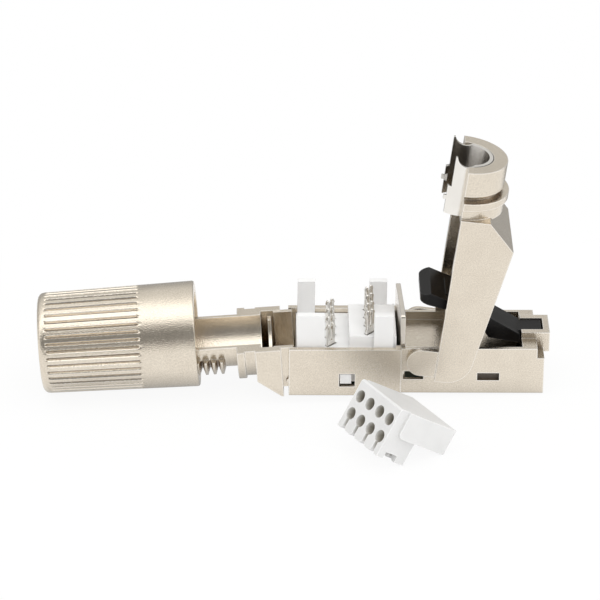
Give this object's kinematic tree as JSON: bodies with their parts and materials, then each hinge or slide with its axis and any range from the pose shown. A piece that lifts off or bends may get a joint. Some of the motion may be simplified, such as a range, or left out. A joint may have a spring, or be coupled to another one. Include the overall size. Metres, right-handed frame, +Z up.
{
  "type": "field termination network plug",
  "caption": "Open field termination network plug: hinged metal lid, screw cap on a threaded neck, contact carrier, latch and loose wire manager.",
  "frame": {"origin": "on the underside of the lower shell, where the wire tray meets the nose, on the middle plane", "axes": "+X along the plug to the nose, +Y to the far side, +Z up from the underside"},
  "size_m": [0.0725, 0.0348, 0.0383],
  "materials": {
    "zinc": "nickel plated die casting, fine blasted satin",
    "sheet_metal": "bright sheet metal",
    "contact_metal": "tin plated bronze, bright",
    "gold": "gold plated",
    "white_plastic": "moulded, fine satin",
    "black_plastic": "moulded, satin",
    "insert_plastic": "moulded",
    "board": "solder mask"
  },
  "bodies": {
    "base": {"base_shell": "zinc", "shield_plate": "sheet_metal", "contact_carrier": "white_plastic", "circuit_board": "board", "nose_insert": "insert_plastic", "wire_manager": "white_plastic", "wire_contact_1": "contact_metal", "wire_contact_2": "contact_metal", "wire_contact_3": "contact_metal", "wire_contact_4": "contact_metal", "wire_contact_5": "contact_metal", "wire_contact_6": "contact_metal", "wire_contact_7": "contact_metal", "wire_contact_8": "contact_metal", "plug_contact_1": "gold", "plug_contact_2": "gold", "plug_contact_3": "gold", "plug_contact_4": "gold", "plug_contact_5": "gold", "plug_contact_6": "gold", "plug_contact_7": "gold", "plug_contact_8": "gold"},
    "rear": {"rear_shell": "zinc"},
    "lid": {"lid_shell": "zinc", "cable_clamp": "sheet_metal"},
    "ring": {"clamp_ring": "sheet_metal"},
    "cap": {"screw_cap": "zinc"},
    "latch": {"latch_lever": "black_plastic"}
  },
  "joints": [
    {"name": "lid_hinge", "type": "hinge", "parent": "base", "child": "lid", "pos_m": [0.0028, 0, 0.0053], "axis": [0, -1, 0], "range_deg": [0, 97]},
    {"name": "rear_tilt", "type": "hinge", "parent": "base", "child": "rear", "pos_m": [-0.0156, 0, 0.0021], "axis": [0, 1, 0], "range_deg": [0, 4.3]},
    {"name": "cap_slide", "type": "slide", "parent": "rear", "child": "ring", "axis": [0.9972, 0, 0.075], "range_m": [0, 0.0054]},
    {"name": "cap_spin", "type": "hinge", "parent": "ring", "child": "cap", "pos_m": [-0.02876, 0, 0.00643], "axis": [0.9972, 0, 0.075], "range_deg": [0, 1720.36]},
    {"name": "latch_hinge", "type": "hinge", "parent": "base", "child": "latch", "pos_m": [0.0189, 0, 0.0072], "axis": [0, -1, 0], "range_deg": [0, 9], "stiffness_Nm_per_rad": 0.02}
  ],
  "couplings": [
    {"joint": "rear_tilt", "follows": "lid_hinge", "ratio": 0.04433},
    {"joint": "cap_spin", "follows": "cap_slide", "rad_per_m": 5560.3}
  ]
}
